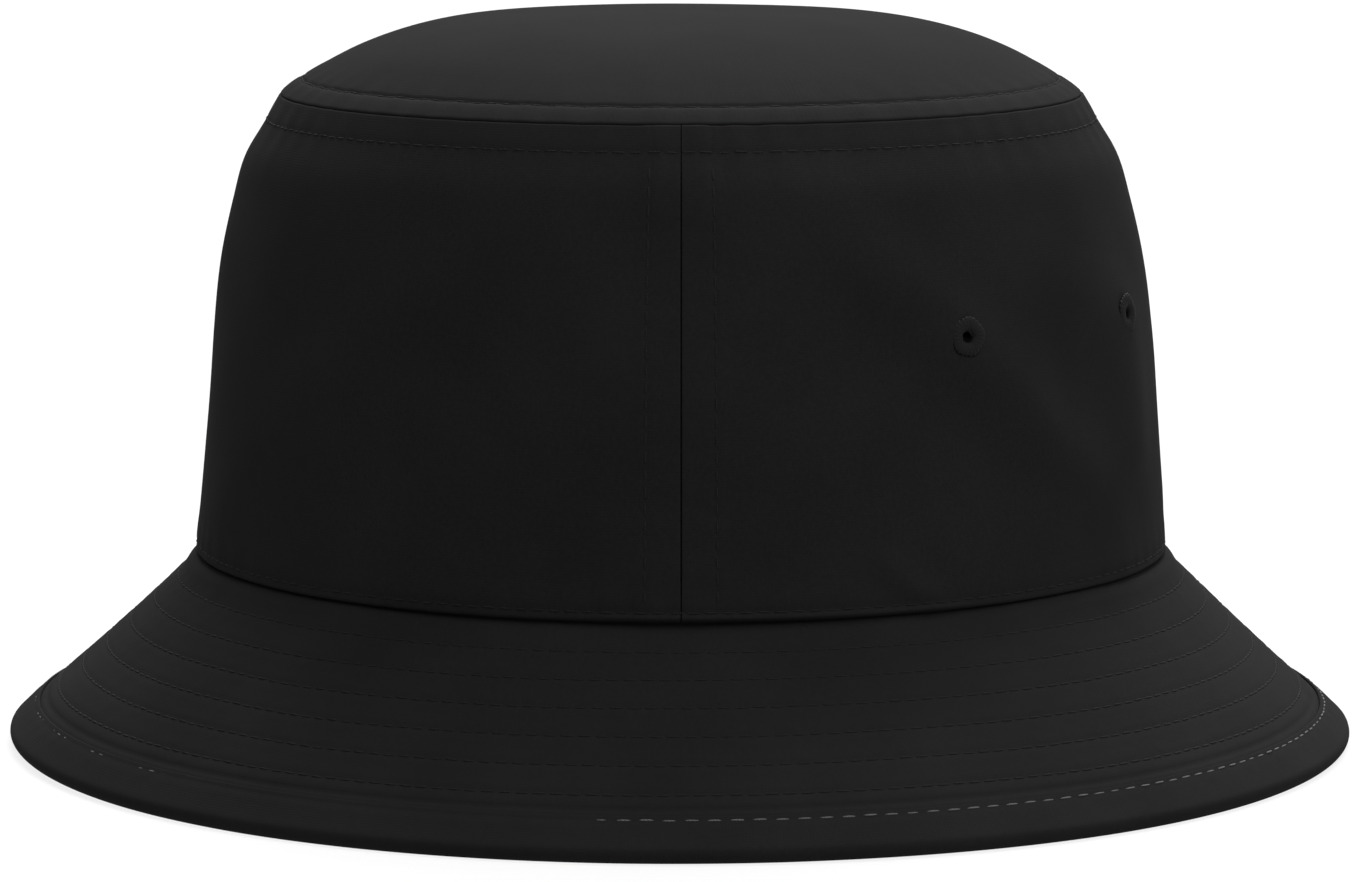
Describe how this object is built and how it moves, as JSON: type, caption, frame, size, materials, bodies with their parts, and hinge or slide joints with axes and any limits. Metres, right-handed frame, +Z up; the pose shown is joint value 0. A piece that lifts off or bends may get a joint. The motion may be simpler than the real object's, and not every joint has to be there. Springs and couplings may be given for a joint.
{
  "type": "bucket hat",
  "caption": "Bucket hat with an oval crown, a stitched downward-sloping brim with a bound edge, a sweatband, taped seams and embroidered vents.",
  "frame": {"origin": "under the middle of the hat, on the plane that the brim's edge stands on", "axes": "+Z up through the crown; -Y to the hat's front; +X to the wearer's left"},
  "size_m": [0.2451, 0.2746, 0.1326],
  "materials": {
    "shell_cloth": "matte, fine woven",
    "backing": "matte, non-woven",
    "seam_tape": "matte, woven",
    "brim_stiffener": "matte, non-woven",
    "binding_cloth": "matte, woven",
    "sweatband_cloth": "soft, woven",
    "sweatband_core": "soft, non-woven",
    "label": "smooth woven",
    "thread": "slightly glossy",
    "eyelet_thread": "slightly glossy"
  },
  "bodies": {
    "root": {"crown_tip": "shell_cloth", "side_panel_left": "shell_cloth", "side_panel_right": "shell_cloth", "tip_interlining": "backing", "side_interlining_left": "backing", "side_interlining_right": "backing", "tip_seam_tape": "seam_tape", "front_seam_tape": "seam_tape", "back_seam_tape": "seam_tape", "brim_top": "shell_cloth", "brim_stiffener": "brim_stiffener", "brim_under": "shell_cloth", "brim_edge_binding": "binding_cloth", "sweatband": "sweatband_cloth", "sweatband_core": "sweatband_core", "care_label": "label", "size_label": "label", "tip_topstitch": "thread", "side_topstitch": "thread", "crown_base_stitch": "thread", "front_seam_stitch": "thread", "back_seam_stitch": "thread", "binding_stitch": "thread", "sweatband_stitch": "thread", "eyelet_left_front": "eyelet_thread", "eyelet_left_rear": "eyelet_thread", "eyelet_right_front": "eyelet_thread", "eyelet_right_rear": "eyelet_thread", "brim_stitch_row_1": "thread", "brim_stitch_row_2": "thread", "brim_stitch_row_3": "thread", "brim_stitch_row_4": "thread", "brim_stitch_row_5": "thread", "brim_stitch_row_6": "thread"}
  },
  "joints": []
}
